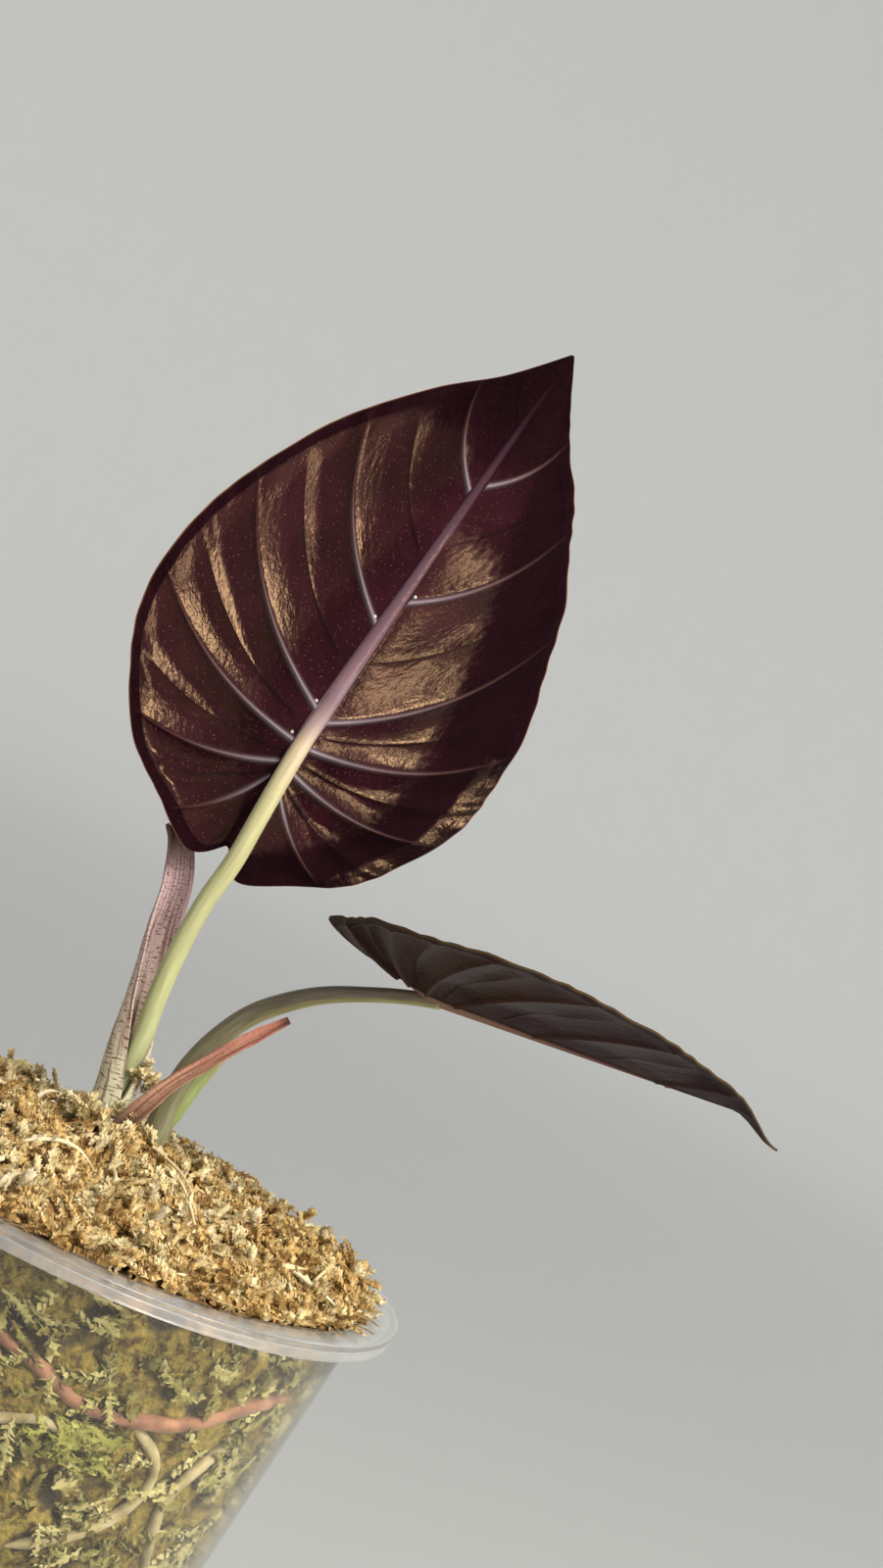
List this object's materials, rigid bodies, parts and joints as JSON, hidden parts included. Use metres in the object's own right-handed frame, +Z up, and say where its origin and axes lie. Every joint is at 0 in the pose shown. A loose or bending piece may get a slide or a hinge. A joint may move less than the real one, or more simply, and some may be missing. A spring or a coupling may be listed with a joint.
{
  "type": "potted alocasia infernalis",
  "caption": "Young aroid house plant with dark quilted leaves on slender stalks, rooted in a mound of sphagnum moss in a clear flanged plastic cup.",
  "frame": {"origin": "middle of the flat underside of the cup, where it rests", "axes": "+Z up along the cup's axis; +X to the right, the way the second leaf points; +Y away from the viewer"},
  "size_m": [0.1304, 0.095, 0.2151],
  "materials": {
    "clear_plastic": "gloss",
    "sphagnum_moss": "matte",
    "rhizome": "matte",
    "pink_root": "satin",
    "cream_root": "satin",
    "dry_sheath": "matte",
    "green_stalk": "satin",
    "olive_stalk": "satin",
    "dark_leaf": "satin",
    "dried_bract": "matte"
  },
  "bodies": {
    "root": {"cup": "clear_plastic", "moss": "sphagnum_moss", "rhizome": "rhizome", "root_pink": "pink_root", "root_cream_a": "cream_root", "root_cream_b": "cream_root", "root_cream_c": "cream_root", "old_sheath": "dry_sheath", "petiole_main": "green_stalk", "blade_main": "dark_leaf", "petiole_second": "olive_stalk", "blade_second": "dark_leaf", "cataphyll": "dried_bract"}
  },
  "joints": []
}
